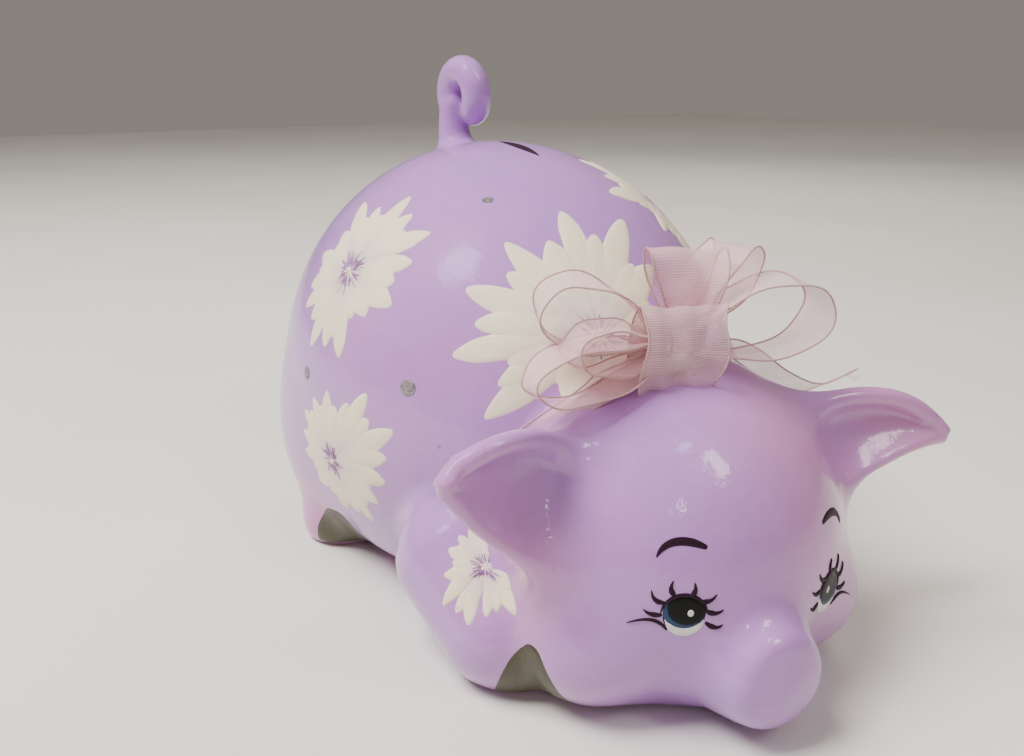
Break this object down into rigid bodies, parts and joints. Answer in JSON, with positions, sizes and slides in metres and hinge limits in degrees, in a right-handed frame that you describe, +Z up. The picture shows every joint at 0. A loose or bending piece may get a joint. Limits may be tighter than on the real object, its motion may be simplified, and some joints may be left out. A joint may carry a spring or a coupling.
{
  "type": "piggy bank",
  "caption": "Hollow ceramic pig money bank with a coin slot on its back, a rubber stopper in the belly and a sheer ribbon bow on the neck.",
  "frame": {"origin": "middle of the object's box, on the table surface it rests on", "axes": "-Y is the way the pig's body faces, -X is the pig's right side, +Z is up"},
  "size_m": [0.1939, 0.296, 0.207],
  "materials": {
    "glaze": "gloss",
    "stopper_rubber": "matt",
    "glue": "satin",
    "wire": "satin",
    "organza": "sheer"
  },
  "bodies": {
    "bank": {"ceramic_body": "glaze", "ear_right": "glaze", "ear_left": "glaze", "tail": "glaze", "glue_dab": "glue", "bow_wire": "wire", "loop_left_high": "organza", "loop_left_mid": "organza", "loop_left_low": "organza", "loop_top": "organza", "loop_top_right": "organza", "loop_right": "organza", "bow_centre_loop": "organza", "bow_tail_right": "organza", "bow_tail_left": "organza"},
    "stopper": {"stopper": "stopper_rubber"}
  },
  "joints": [
    {"name": "stopper_pull", "type": "slide", "parent": "bank", "child": "stopper", "axis": [0, 0, -1], "range_m": [0, 0.03]}
  ]
}
